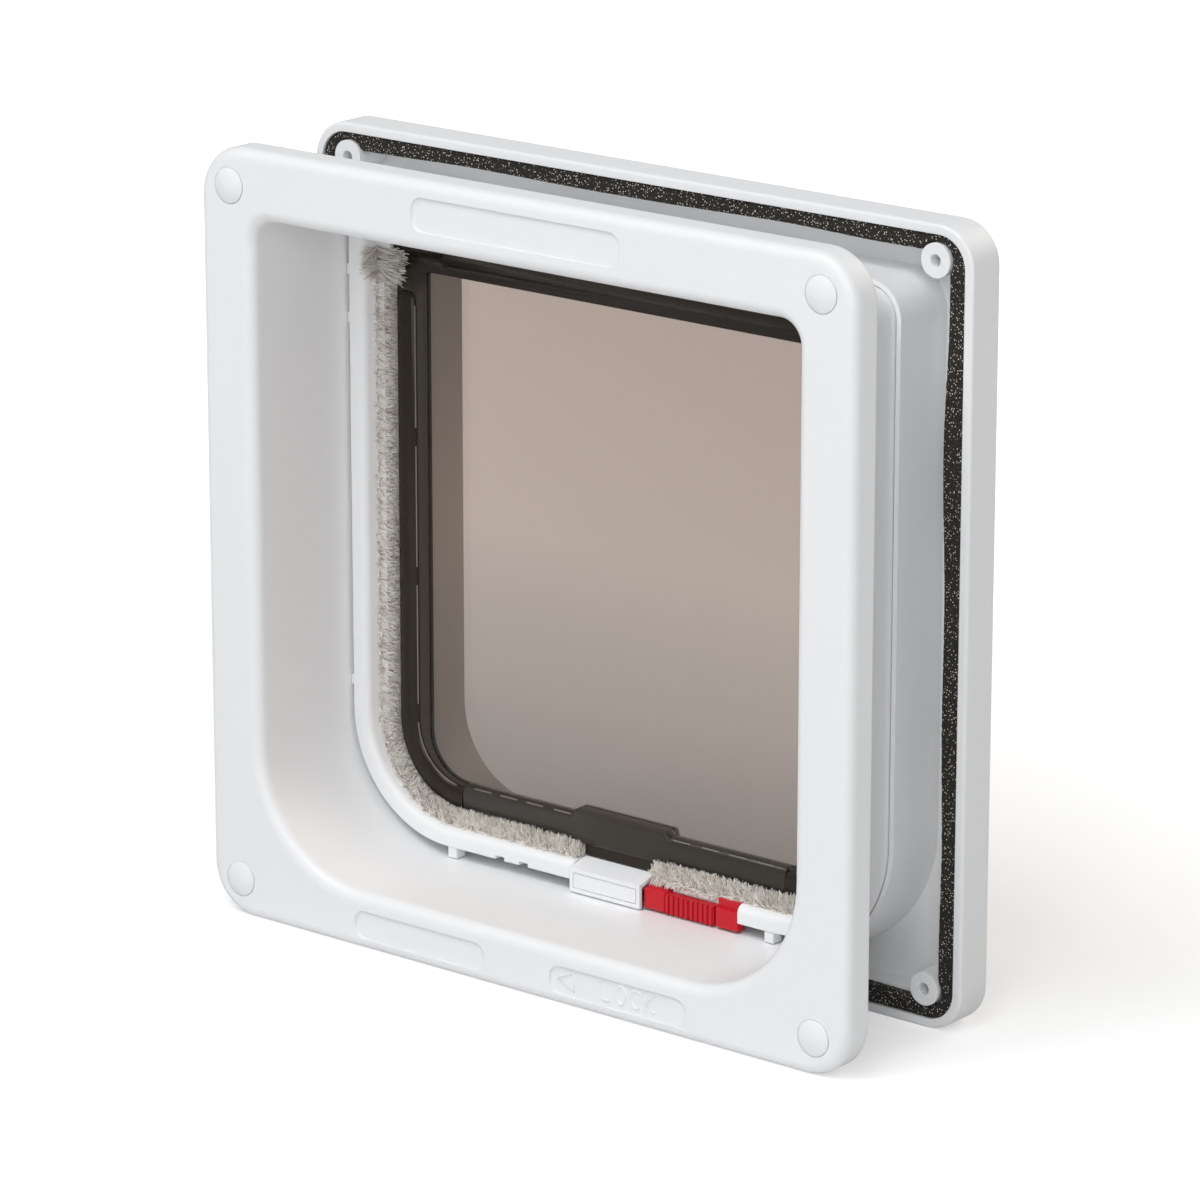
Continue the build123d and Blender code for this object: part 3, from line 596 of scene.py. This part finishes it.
def strandTree(s):
    tree, start, end = nodeTree("brush strands", {
        "Density": ("NodeSocketFloat", s["density"]),
        "Radius": ("NodeSocketFloat", s["strandRadius"] * mm),
        "Lean": ("NodeSocketFloat", s["lean"]),
        "Tuft Lean": ("NodeSocketFloat", s["tuftLean"]),
        "Tufts": ("NodeSocketFloat", s["tufts"]),
        "Bend": ("NodeSocketFloat", s["bend"]),
        "Length Low": ("NodeSocketFloat", s["lengthLow"]),
        "Length High": ("NodeSocketFloat", s["lengthHigh"]),
        "Seed": ("NodeSocketInt", s["seedRight"]),
    })
    link = tree.links.new
    scatter = addNode(tree, "GeometryNodeDistributePointsOnFaces", distribute_method="RANDOM")
    growth = addNode(tree, "GeometryNodeInputNamedAttribute", data_type="FLOAT")
    growth.inputs["Name"].default_value = "growth"
    thick = addNode(tree, "ShaderNodeMath", operation="MULTIPLY")
    link(start.outputs["Density"], thick.inputs[0])
    link(liveOutput(growth), thick.inputs[1])
    link(start.outputs["Geometry"], scatter.inputs["Mesh"])
    link(thick.outputs[0], scatter.inputs["Density"])
    link(start.outputs["Seed"], scatter.inputs["Seed"])
    strand = addNode(tree, "GeometryNodeMeshCone")
    strand.inputs["Vertices"].default_value = s["strandSides"]
    strand.inputs["Side Segments"].default_value = s["strandSteps"]
    strand.inputs["Radius Top"].default_value = s["strandRadius"] * s["tipShare"] * mm
    strand.inputs["Depth"].default_value = 1.0          # scaled to the pile's length
    link(start.outputs["Radius"], strand.inputs["Radius Bottom"])
    place = addNode(tree, "GeometryNodeInputPosition")
    parts = addNode(tree, "ShaderNodeSeparateXYZ")
    link(place.outputs[0], parts.inputs[0])
    square = addNode(tree, "ShaderNodeMath", operation="POWER")
    square.inputs[1].default_value = 2.0
    link(parts.outputs["Z"], square.inputs[0])
    curl = addNode(tree, "ShaderNodeMath", operation="MULTIPLY")
    link(square.outputs[0], curl.inputs[0])
    link(start.outputs["Bend"], curl.inputs[1])
    pileLength = addNode(tree, "GeometryNodeInputNamedAttribute", data_type="FLOAT")
    pileLength.inputs["Name"].default_value = "pileLength"
    bent = addNode(tree, "GeometryNodeSetPosition")
    shift = addNode(tree, "ShaderNodeCombineXYZ")
    scaled = addNode(tree, "ShaderNodeMath", operation="MULTIPLY")
    scaled.inputs[1].default_value = s["curlLength"] * mm
    link(curl.outputs[0], scaled.inputs[0])
    link(scaled.outputs[0], shift.inputs["X"])
    link(strand.outputs["Mesh"], bent.inputs["Geometry"])
    link(shift.outputs[0], bent.inputs["Offset"])
    upright = addNode(tree, "FunctionNodeAlignRotationToVector", axis="Z")
    link(scatter.outputs["Normal"], upright.inputs["Vector"])
    tilt = addNode(tree, "FunctionNodeRandomValue", data_type="FLOAT_VECTOR")
    negative = addNode(tree, "ShaderNodeMath", operation="MULTIPLY")
    negative.inputs[1].default_value = -1.0
    link(start.outputs["Lean"], negative.inputs[0])
    lowTilt = addNode(tree, "ShaderNodeCombineXYZ")
    highTilt = addNode(tree, "ShaderNodeCombineXYZ")
    for axis in ("X", "Y"):
        link(negative.outputs[0], lowTilt.inputs[axis])
        link(start.outputs["Lean"], highTilt.inputs[axis])
    highTilt.inputs["Z"].default_value = math.tau
    link(lowTilt.outputs[0], tilt.inputs["Min"])
    link(highTilt.outputs[0], tilt.inputs["Max"])
    link(start.outputs["Seed"], tilt.inputs["Seed"])
    tuft = addNode(tree, "ShaderNodeTexNoise")
    tuft.inputs["Detail"].default_value = 1.0
    link(place.outputs[0], tuft.inputs["Vector"])
    link(start.outputs["Tufts"], tuft.inputs["Scale"])
    centred = addNode(tree, "ShaderNodeVectorMath", operation="SUBTRACT")
    centred.inputs[1].default_value = (0.5, 0.5, 0.5)
    link(tuft.outputs["Color"], centred.inputs[0])
    shared = addNode(tree, "ShaderNodeVectorMath", operation="SCALE")
    link(centred.outputs[0], shared.inputs[0])
    link(start.outputs["Tuft Lean"], shared.inputs["Scale"])
    leaned = addNode(tree, "FunctionNodeRotateRotation", rotation_space="GLOBAL")
    link(upright.outputs[0], leaned.inputs["Rotation"])
    link(shared.outputs[0], leaned.inputs["Rotate By"])
    turned = addNode(tree, "FunctionNodeRotateRotation", rotation_space="LOCAL")
    link(leaned.outputs[0], turned.inputs["Rotation"])
    link(tilt.outputs["Value"], turned.inputs["Rotate By"])
    length = addNode(tree, "FunctionNodeRandomValue", data_type="FLOAT")
    lengthSockets = [socket for socket in length.inputs if socket.type == "VALUE" and socket.enabled]
    link(start.outputs["Length Low"], lengthSockets[0])
    link(start.outputs["Length High"], lengthSockets[1])
    tall = addNode(tree, "ShaderNodeMath", operation="MULTIPLY")
    link(liveOutput(length), tall.inputs[0])
    link(liveOutput(pileLength), tall.inputs[1])
    size = addNode(tree, "ShaderNodeCombineXYZ")
    size.inputs["X"].default_value = 1.0
    size.inputs["Y"].default_value = 1.0
    link(tall.outputs[0], size.inputs["Z"])
    planted = addNode(tree, "GeometryNodeInstanceOnPoints")
    link(scatter.outputs["Points"], planted.inputs["Points"])
    link(bent.outputs[0], planted.inputs["Instance"])
    link(turned.outputs[0], planted.inputs["Rotation"])
    link(size.outputs[0], planted.inputs["Scale"])
    tone = addNode(tree, "FunctionNodeRandomValue", data_type="FLOAT")
    tone.inputs["Seed"].default_value = s["seedTone"]
    keepTone = addNode(tree, "GeometryNodeStoreNamedAttribute", data_type="FLOAT", domain="INSTANCE")
    keepTone.inputs["Name"].default_value = "strandTone"
    link(planted.outputs[0], keepTone.inputs["Geometry"])
    link(liveOutput(tone), keepTone.inputs["Value"])
    real = addNode(tree, "GeometryNodeRealizeInstances")
    finish = addNode(tree, "GeometryNodeSetMaterial")
    finish.inputs["Material"].default_value = materials["brushPile"]
    link(keepTone.outputs[0], real.inputs[0])
    link(real.outputs[0], finish.inputs["Geometry"])
    link(finish.outputs[0], end.inputs["Geometry"])
    return tree


def makeBrush(s, side, name, node, tree):
    rows, front, back = brushPath(s, side)
    points, lengths, growth = [], [], []
    for place, inward, sillShare, headShare, end in rows:
        columns = bedColumns(s, side, sillShare, headShare, front, end)
        for y, height, pile, share in columns:
            points.append((place + inward * height + Vector((0, y, 0))) * mm)
            lengths.append(pile * mm)
            growth.append(share)
    count = len(columns)
    faces = []
    for i in range(len(rows) - 1):
        for k in range(count - 1):
            a = count * i + k
            faces.append((a, a + 1, a + count + 1, a + count))
    mesh = meshFrom(name, points, faces)
    if mesh.polygons[count - 2].normal.x * side > 0:    # the bed faces the flap
        mesh.flip_normals()
    for label, values in (("pileLength", lengths), ("growth", growth)):
        mesh.attributes.new(label, "FLOAT", "POINT").data.foreach_set("value", values)
    seed = s["seedRight"] if side > 0 else s["seedLeft"]
    obj = grow(newObject(name, mesh), tree, {"Seed": seed})
    core = bmesh.new()                                  # solid backing among the strands; lacking a strand tone it takes mostly the dark tone, painted shade in the gaps between strands
    rings = []
    begin = front + s["coreInset"]
    for place, inward, sillShare, *_ in rows[1:]:
        outer = place - inward * s["railInset"]
        inner = place + inward * (s["coreSill"] * sillShare + s["coreSide"] * (1 - sillShare))
        corners = [(outer, begin), (inner, begin), (inner, back), (outer, back)]
        rings.append([core.verts.new((p + Vector((0, y, 0))) * mm) for p, y in corners])
    for first, second in zip(rings, rings[1:]):
        for k in range(4):
            core.faces.new((first[k], first[(k + 1) % 4], second[(k + 1) % 4], second[k]))
    core.faces.new(rings[0])
    core.faces.new(rings[-1])
    bmesh.ops.recalc_face_normals(core, faces=core.faces[:])
    core.from_mesh(obj.data)
    core.to_mesh(obj.data)
    core.free()
    dress(obj, "exterior", "brush_pile", node)


strands = strandTree(brush)
makeBrush(brush, -1, "brushPileLeft", "brush_seal_left", strands)
makeBrush(brush, 1, "brushPileRight", "brush_seal_right", strands)
print("brush strands grown")

# foam strip laid by hand inside the exterior rim, so its inner edge wanders
foam = {
    "cornerRadius": 9.0,      # of its outer edge, mm
    "uprightWidth": 5.8,
    "levelWidth": 4.8,
    "leastWidth": 1.0,
    "wander": 0.42,           # how far the inner edge strays, mm
    "waves": 0.024,           # per mm along the strip
    "waveRow": 3.7,           # where the noise of the waves and of the fray is read
    "fray": 0.12,             # ragged cut of the inner edge, mm
    "frayWaves": 0.9,
    "frayRow": 8.1,
    "bulge": 1.2,             # extra width where the right side sags inwards, mm
    "bulgeHeight": 165.0,
    "bulgeSpan": 30.0,
    "bulgeFacing": -0.9,      # only where the strip faces left
    "step": 1.1,              # station spacing, mm
    "bossAcross": 105.9,      # screw boss centres, mm
    "bossLow": 11.3,
    "bossHigh": 219.7,
    "bossRoom": 5.25,         # kept free round each boss centre, mm
    "roundEdge": 0.8,         # radius of its front edges, mm
    "roundShare": 0.3,        # of that radius, at the middle of the bend
    "faceSteps": 5,
    "pores": 0.16,            # height of the open cells, mm
    "poreWaves": 1.7,         # per mm
}


def roundedLoop(low, high, radius, step):
    # points and inward normals round a rounded rectangle in x and z
    left, right = low[0] + radius, high[0] - radius
    bottom, top = low[1] + radius, high[1] - radius
    centres = [Vector((x, 0, z)) for x, z in ((right, top), (left, top), (left, bottom), (right, bottom))]
    loop = []
    for turn, centre in enumerate(centres):
        arcSteps = max(6, int(math.pi / 2 * radius / step))
        for i in range(arcSteps + 1):
            a = math.pi / 2 * (turn + i / arcSteps)
            out = Vector((math.cos(a), 0, math.sin(a)))
            loop.append((centre + out * radius, -out))
        begin, finish = centre + out * radius, centres[(turn + 1) % 4] + out * radius
        runSteps = max(2, int((finish - begin).length / step))
        for i in range(1, runSteps):
            loop.append((begin.lerp(finish, i / runSteps), -out))
    return loop


def freeWidth(s, place, inward, width):
    # shorten the width where a boss stands in the way
    for bx in (-s["bossAcross"], s["bossAcross"]):
        for bz in (s["bossLow"], s["bossHigh"]):
            gap = Vector((bx, 0, bz)) - place
            along = gap.dot(inward)
            off2 = gap.length_squared - along * along
            if along > 0 and off2 < s["bossRoom"] ** 2:
                width = min(width, along - math.sqrt(s["bossRoom"] ** 2 - off2))
    return max(width, s["leastWidth"])


def makeFoam(s):
    low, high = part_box("foam_seal")
    front, back = low.y / mm, high.y / mm
    outline = [(corner.x / mm, corner.z / mm) for corner in (low, high)]
    loop = roundedLoop(*outline, s["cornerRadius"], s["step"])
    rings, points, faces = [], [], []
    travelled = 0.0
    for i, (place, inward) in enumerate(loop):
        travelled += (place - loop[i - 1][0]).length if i else 0.0
        sway = noise.noise(Vector((travelled * s["waves"], s["waveRow"], 0.0))) * 2.0 * s["wander"]
        sway += noise.noise(Vector((travelled * s["frayWaves"], s["frayRow"], 0.0))) * s["fray"]
        if inward.x < s["bulgeFacing"]:
            sway += s["bulge"] * math.exp(-((place.z - s["bulgeHeight"]) / s["bulgeSpan"]) ** 2)
        level = inward.z ** 2
        width = s["levelWidth"] * level + s["uprightWidth"] * (1 - level) + sway
        width = freeWidth(s, place, inward, width)
        r = min(s["roundEdge"], width / 3)
        cut = s["roundShare"] * r
        steps = s["faceSteps"]
        profile = [(0.0, back), (0.0, front + r), (cut, front + cut), (r, front)]
        profile += [(r + (width - 2 * r) * k / steps, front) for k in range(1, steps + 1)]
        profile += [(width - cut, front + cut), (width, front + r)]
        profile += [(width, (front + back) / 2), (width, back)]
        ring = []
        for k, (across, y) in enumerate(profile):
            spot = place + inward * across + Vector((0, y, 0))
            if 0 < k < len(profile) - 1 and across > 0.0:
                spot.y += s["pores"] * (0.5 + noise.noise(spot * s["poreWaves"]))
            ring.append(len(points))
            points.append(spot * mm)
        rings.append(ring)
    for i, ring in enumerate(rings):
        after = rings[(i + 1) % len(rings)]
        for k in range(len(ring)):
            n = (k + 1) % len(ring)
            faces.append((ring[k], after[k], after[n], ring[n]))
    obj = newObject("foamStrip", meshFrom("foamStrip", points, faces))
    form = bmesh.new()
    form.from_mesh(obj.data)
    bmesh.ops.recalc_face_normals(form, faces=form.faces[:])
    form.to_mesh(obj.data)
    form.free()
    obj.data.shade_smooth()
    obj.data.materials.append(materials["foamCells"])
    dress(obj, "exterior", "foam", "foam_seal")


makeFoam(foam)
print("foam strip laid")

# flap frame with square upper corners in its window
window = {
    "centre": (70.0, 186.5),  # of the corner's bend, mm
    "radius": 4.0,
    "reach": 1.30,            # how far the corner goes out, times the radius
    "near": 0.15,             # how close to the bend a point is, mm
    "weld": 0.001,            # mm
    "sharpAngle": 30.0,       # degrees
}


def makeFrame(s, node):
    mesh = nodes[node].data.copy()
    form = bmesh.new()
    form.from_mesh(mesh)
    bmesh.ops.remove_doubles(form, verts=form.verts[:], dist=s["weld"] * mm)
    for vert in form.verts:
        across = abs(vert.co.x) / mm - s["centre"][0]
        up = vert.co.z / mm - s["centre"][1]
        if across > 0 and up > 0 and abs(math.hypot(across, up) - s["radius"]) < s["near"]:
            grown = min(s["radius"] / max(across, up), s["reach"])
            vert.co.x = math.copysign((s["centre"][0] + across * grown) * mm, vert.co.x)
            vert.co.z = (s["centre"][1] + up * grown) * mm
    bmesh.ops.recalc_face_normals(form, faces=form.faces[:])
    form.to_mesh(mesh)
    form.free()
    mesh.shade_smooth()
    mesh.set_sharp_from_angle(angle=math.radians(s["sharpAngle"]))
    dress(newObject("flapFrameSquare", mesh), "flap", "smoked_frame", node)


makeFrame(window, "flap_frame")
print("flap frame squared")

# rounded bead and bottom bar of the flap, lofted over their solids
flapTrim = {
    "depth": 10.4,           # middle of the flap, mm
    "beadMiddle": 81.2,      # half the distance between the beads' middles, mm
    "beadAcross": 3.9,       # half sizes of the bead, mm
    "beadDeep": 3.35,
    "beadPower": 2.7,        # 2 is an ellipse, more is squarer
    "beadTop": 184.6,
    "bendAcross": 60.0,      # centre of the lower bends, mm
    "bendHeight": 54.5,
    "bendSteps": 18,
    "endSteps": 5,
    "endStart": 0.3,         # share of a step where the rounded end begins
    "barMiddle": 33.75,      # height of the bar's middle, mm
    "barHigh": 4.4,
    "barDeep": 3.35,
    "barPower": 3.0,
    "barEnd": 59.8,
    "barRound": 0.5,         # length over which its end narrows, mm
    "barEndSize": 0.93,
    "padMiddle": 34.6,
    "padHigh": 5.15,
    "padDeep": 3.9,
    "padPower": 8.0,
    "padEnd": 16.6,
    "padShoulder": 1.6,      # length of the slope down to the bar, mm
    "facets": 36,
    "sharpAngle": 40.0,      # degrees
}


def ovalRing(centre, across, halfAcross, halfDeep, power, count):
    # a rounded ring about centre, across one direction and y
    ring = []
    for i in range(count):
        c, s = math.cos(math.tau * i / count), math.sin(math.tau * i / count)
        side = halfAcross * math.copysign(abs(c) ** (2 / power), c)
        deep = halfDeep * math.copysign(abs(s) ** (2 / power), s)
        ring.append(centre + across * side + Vector((0, deep, 0)))
    return ring


def loft(form, rings):
    # skin the rings and close both ends
    rows = [[form.verts.new(point * mm) for point in ring] for ring in rings]
    for first, second in zip(rows, rows[1:]):
        for k in range(len(first)):
            n = (k + 1) % len(first)
            form.faces.new((first[k], first[n], second[n], second[k]))
    form.faces.new(rows[0])
    form.faces.new(rows[-1])


def roundedPiece(name, s, lofts, finish, *replaced):
    form = bmesh.new()
    for rings in lofts:
        loft(form, rings)
    bmesh.ops.recalc_face_normals(form, faces=form.faces[:])
    mesh = bpy.data.meshes.new(name)
    form.to_mesh(mesh)
    form.free()
    mesh.shade_smooth()
    mesh.set_sharp_from_angle(angle=math.radians(s["sharpAngle"]))
    mesh.materials.append(materials[finish])
    dress(newObject(name, mesh), "flap", "smoked_frame", *replaced)


def beadRings(s, side):
    stations = []
    for i in range(s["endSteps"]):                        # rounded upper end
        a = math.pi / 2 * (i + s["endStart"]) / s["endSteps"]
        drop = s["beadAcross"] * (1 - math.cos(a))
        stations.append((s["beadMiddle"], s["beadTop"] - drop, 0.0, math.sin(a)))
    radius = s["beadMiddle"] - s["bendAcross"]
    for i in range(s["bendSteps"] + 1):
        a = math.pi / 2 * i / s["bendSteps"]
        x = s["bendAcross"] + radius * math.cos(a)
        stations.append((x, s["bendHeight"] - radius * math.sin(a), a, 1.0))
    rings = []
    for x, z, a, size in stations:
        across = Vector((math.cos(a) * side, 0, -math.sin(a)))
        centre = Vector((x * side, s["depth"], z))
        halves = (s["beadAcross"] * size, s["beadDeep"] * size)
        rings.append(ovalRing(centre, across, *halves, s["beadPower"], s["facets"]))
    return rings


def barRings(s):
    bar = (s["barMiddle"], s["barHigh"], s["barDeep"], s["barPower"])
    pad = (s["padMiddle"], s["padHigh"], s["padDeep"], s["padPower"])
    half = [(s["padEnd"], pad, 1.0), (s["padEnd"] + s["padShoulder"], bar, 1.0)]
    half += [(s["barEnd"] - s["barRound"], bar, 1.0), (s["barEnd"], bar, s["barEndSize"])]
    stations = [(-x, form, size) for x, form, size in reversed(half)] + half
    rings = []
    for x, (middle, high, deep, power), size in stations:
        centre = Vector((x, s["depth"], middle))
        rings.append(ovalRing(centre, Vector((0, 0, 1)), high * size, deep * size, power, s["facets"]))
    return rings


beads = [beadRings(flapTrim, side) for side in (-1, 1)]
roundedPiece("beadRound", flapTrim, beads, "smokedFrame")
roundedPiece("flapBarRound", flapTrim, [barRings(flapTrim)], "smokedBarLit", "flap_bottom_bar")
print("bead and bar rounded")

# raised strokes: the word LOCK and its arrow
strokes = {
    "recess": 0.6,           # depth of the recess, mm
    "radius": 0.36,          # of a stroke, mm
    "wordLow": 5.1,          # mm
    "wordHigh": 10.4,
    "letterWide": 3.5,
    "letterStart": (30.8, 36.1, 41.4, 46.7),
    "footReach": 0.85,       # shares of a letter's width
    "armReach": 0.9,
    "legReach": 0.95,
    "armFoot": (0.2, -0.3),  # where arm and leg meet, from the stem's middle, mm
    "ringPoints": 24,
    "openTurn": (48, 312),   # degrees
    "openSteps": 18,
    "arrow": (14.9, 20.8, 4.9, 10.6),    # left, right, low and high, mm
    "tubeSides": 10,
}


def tubeAlong(tree, curve, radius, finish, end):
    # a closed round tube along each spline, with its finish
    profile = addNode(tree, "GeometryNodeCurvePrimitiveCircle", mode="RADIUS")
    profile.inputs["Resolution"].default_value = strokes["tubeSides"]
    tube = addNode(tree, "GeometryNodeCurveToMesh")
    tube.inputs["Fill Caps"].default_value = True
    smooth = addNode(tree, "GeometryNodeSetShadeSmooth")
    real = addNode(tree, "GeometryNodeRealizeInstances")
    coat = addNode(tree, "GeometryNodeSetMaterial")
    coat.inputs["Material"].default_value = materials[finish]
    tree.links.new(radius, profile.inputs["Radius"])
    tree.links.new(curve, tube.inputs["Curve"])
    tree.links.new(profile.outputs["Curve"], tube.inputs["Profile Curve"])
    tree.links.new(tube.outputs["Mesh"], smooth.inputs["Geometry"])
    tree.links.new(smooth.outputs["Geometry"], real.inputs["Geometry"])
    tree.links.new(real.outputs["Geometry"], coat.inputs["Geometry"])
    tree.links.new(coat.outputs["Geometry"], end.inputs["Geometry"])


def strokeTree(s):
    # a round stroke along each chain of edges
    tree, start, end = nodeTree("round strokes", {"Radius": ("NodeSocketFloat", s["radius"] * mm)})
    paths = addNode(tree, "GeometryNodeMeshToCurve")
    tree.links.new(start.outputs["Geometry"], paths.inputs["Mesh"])
    tubeAlong(tree, paths.outputs["Curve"], start.outputs["Radius"], "whitePlastic", end)
    return tree


def dashTree(s):
    # the same with gaps: points past the dash in each period are taken out
    dash, period = s["barDash"]
    tree, start, end = nodeTree("broken ridge", {
        "Radius": ("NodeSocketFloat", s["radius"] * mm),
        "Step": ("NodeSocketFloat", s["step"] * mm),
        "Dash": ("NodeSocketFloat", dash * mm),
        "Period": ("NodeSocketFloat", period * mm),
    })
    link = tree.links.new
    paths = addNode(tree, "GeometryNodeMeshToCurve")
    even = addNode(tree, "GeometryNodeResampleCurve", mode="LENGTH")
    along = addNode(tree, "GeometryNodeSplineParameter")
    keep = addNode(tree, "GeometryNodeStoreNamedAttribute", data_type="FLOAT", domain="POINT")
    keep.inputs["Name"].default_value = "along"
    chain = addNode(tree, "GeometryNodeCurveToMesh")
    read = addNode(tree, "GeometryNodeInputNamedAttribute", data_type="FLOAT")
    read.inputs["Name"].default_value = "along"
    turn = addNode(tree, "ShaderNodeMath", operation="MODULO")
    past = addNode(tree, "ShaderNodeMath", operation="GREATER_THAN")
    cut = addNode(tree, "GeometryNodeDeleteGeometry", domain="POINT")
    dashes = addNode(tree, "GeometryNodeMeshToCurve")
    link(start.outputs["Geometry"], paths.inputs["Mesh"])
    link(paths.outputs["Curve"], even.inputs["Curve"])
    link(start.outputs["Step"], even.inputs["Length"])
    link(even.outputs["Curve"], keep.inputs["Geometry"])
    link(along.outputs["Length"], [i for i in keep.inputs if i.name == "Value" and i.enabled][0])
    link(keep.outputs["Geometry"], chain.inputs["Curve"])
    link(liveOutput(read), turn.inputs[0])
    link(start.outputs["Period"], turn.inputs[1])
    link(turn.outputs[0], past.inputs[0])
    link(start.outputs["Dash"], past.inputs[1])
    link(chain.outputs["Mesh"], cut.inputs["Geometry"])
    link(past.outputs[0], cut.inputs["Selection"])
    link(cut.outputs["Geometry"], dashes.inputs["Mesh"])
    tubeAlong(tree, dashes.outputs["Curve"], start.outputs["Radius"], "ridgeHighlight", end)
    return tree


def oval(cx, cz, wide, high, first, last, steps):
    turns = [math.radians(first + (last - first) * i / steps) for i in range(steps + 1)]
    return [(cx + wide / 2 * math.cos(a), cz + high / 2 * math.sin(a)) for a in turns]


def letterPaths(s):
    low, high, wide = s["wordLow"], s["wordHigh"], s["letterWide"]
    middle = (low + high) / 2
    l, o, c, k = s["letterStart"]
    left, right, down, up = s["arrow"]
    ring = (0, 360 - 360 / s["ringPoints"], s["ringPoints"] - 1)
    arm, leg = k + wide * s["armReach"], k + wide * s["legReach"]
    meet = (k + s["armFoot"][0], middle + s["armFoot"][1])
    return [
        ([(l, high), (l, low), (l + wide * s["footReach"], low)], False),
        (oval(o + wide / 2, middle, wide, high - low, *ring), True),
        (oval(c + wide / 2, middle, wide, high - low, *s["openTurn"], s["openSteps"]), False),
        ([(k, high), (k, low)], False),
        ([(arm, high), meet, (leg, low)], False),
        ([(left, (down + up) / 2), (right, up), (right, down)], True),
    ]


def pathMesh(name, paths, depth):
    # chains of edges at one depth, from points in x and z
    points, edges = [], []
    for path, closed in paths:
        first = len(points)
        points += [Vector((x, depth, z)) * mm for x, z in path]
        edges += [(first + i, first + i + 1) for i in range(len(path) - 1)]
        if closed:
            edges.append((len(points) - 1, first))
    return meshFrom(name, points, [], edges)


def makeLabel(s, tree):
    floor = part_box("interior_frame")[0].y / mm + s["recess"]
    mesh = pathMesh("lockLabel", letterPaths(s), floor)
    obj = grow(newObject("lockLabel", mesh), tree, {"Radius": s["radius"] * mm})
    dress(obj, "interior", "white_plastic")


makeLabel(strokes, strokeTree(strokes))
print("lock label raised")

# broken ridge along the flap's bead and bar, its paler finish a painted highlight
ridge = {
    "radius": 0.24,          # mm
    "step": 0.7,             # spacing of its points, mm
    "beadDepth": 8.25,       # depth of the bead's ridge, mm
    "beadHalf": 77.8,        # half the distance between its two sides, mm
    "beadTop": 180.0,
    "bendAcross": 60.0,      # centre of the lower bends, mm
    "bendHeight": 54.5,
    "bendTurn": 80.0,        # degrees
    "bendSteps": 12,
    "beadDash": (37.0, 42.0),    # dash and period, mm
    "barDepth": 7.9,
    "barHeight": 37.4,
    "barInner": 19.0,
    "barOuter": 57.0,
    "barDash": (7.0, 10.0),
}


def beadPath(s, side):
    radius = s["beadHalf"] - s["bendAcross"]
    path = [(side * s["beadHalf"], s["beadTop"]), (side * s["beadHalf"], s["bendHeight"])]
    for i in range(1, s["bendSteps"] + 1):
        a = math.radians(s["bendTurn"]) * i / s["bendSteps"]
        x = s["bendAcross"] + radius * math.cos(a)
        path.append((side * x, s["bendHeight"] - radius * math.sin(a)))
    return path, False


def barPath(s, side):
    return [(side * x, s["barHeight"]) for x in (s["barInner"], s["barOuter"])], False


def makeRidge(s, tree):
    runs = {
        "beadRidge": (beadPath, s["beadDepth"], s["beadDash"]),
        "barRidge": (barPath, s["barDepth"], s["barDash"]),
    }
    for name, (pathOf, depth, (dash, period)) in runs.items():
        paths = [pathOf(s, side) for side in (-1, 1)]
        values = {"Radius": s["radius"] * mm, "Dash": dash * mm, "Period": period * mm}
        obj = grow(newObject(name, pathMesh(name, paths, depth)), tree, values)
        dress(obj, "flap", "smoked_frame")


makeRidge(ridge, dashTree(ridge))
print("ridge laid on the flap")
